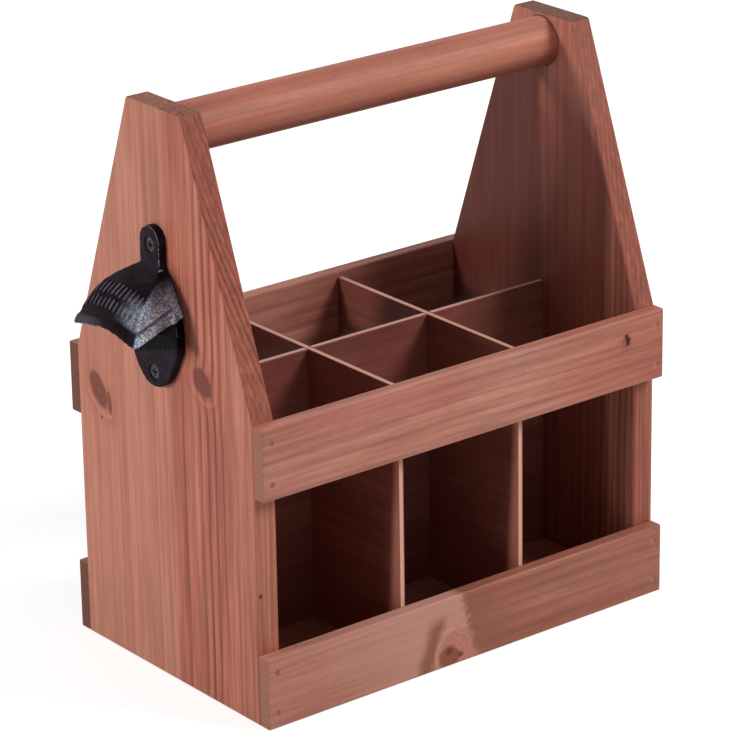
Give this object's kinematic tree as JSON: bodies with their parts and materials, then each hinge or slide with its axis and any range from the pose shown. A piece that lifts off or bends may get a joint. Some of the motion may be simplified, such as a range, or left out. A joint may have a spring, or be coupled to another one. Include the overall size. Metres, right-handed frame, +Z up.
{
  "type": "bottle caddy",
  "caption": "Wooden carrier with tapered end panels, slatted sides, divided compartments, a round handle bar and a cast bottle opener on one end.",
  "frame": {"origin": "centre of the caddy's flat underside, midway between the end panels and between the side rails, level with the feet of the panels", "axes": "+X along the length, away from the opener's end; +Y from the front to the back; +Z up towards the handle"},
  "size_m": [0.273, 0.15, 0.279],
  "materials": {
    "panel_wood": "red-brown stained pine, vertical grain, satin",
    "rail_wood": "red-brown stained pine, grain along the rail, satin",
    "handle_wood": "turned pine bar, stained, satin",
    "floor_wood": "stained pine board, matt",
    "plywood": "thin stained plywood with paler edges, matt",
    "opener_iron": "black painted rough casting, semi-gloss",
    "screw_steel": "black coated steel screw, satin",
    "nail_steel": "dull steel nail"
  },
  "bodies": {
    "root": {"left_end_panel": "panel_wood", "right_end_panel": "panel_wood", "front_bottom_rail": "rail_wood", "front_top_rail": "rail_wood", "back_bottom_rail": "rail_wood", "back_top_rail": "rail_wood", "handle_dowel": "handle_wood", "floor_board": "floor_wood", "long_divider": "plywood", "left_cross_divider": "plywood", "right_cross_divider": "plywood", "bottle_opener": "opener_iron", "upper_opener_screw": "screw_steel", "lower_opener_screw": "screw_steel", "front_bottom_rail_nails": "nail_steel", "front_top_rail_nails": "nail_steel", "back_bottom_rail_nails": "nail_steel", "back_top_rail_nails": "nail_steel", "floor_nails": "nail_steel"}
  },
  "joints": []
}
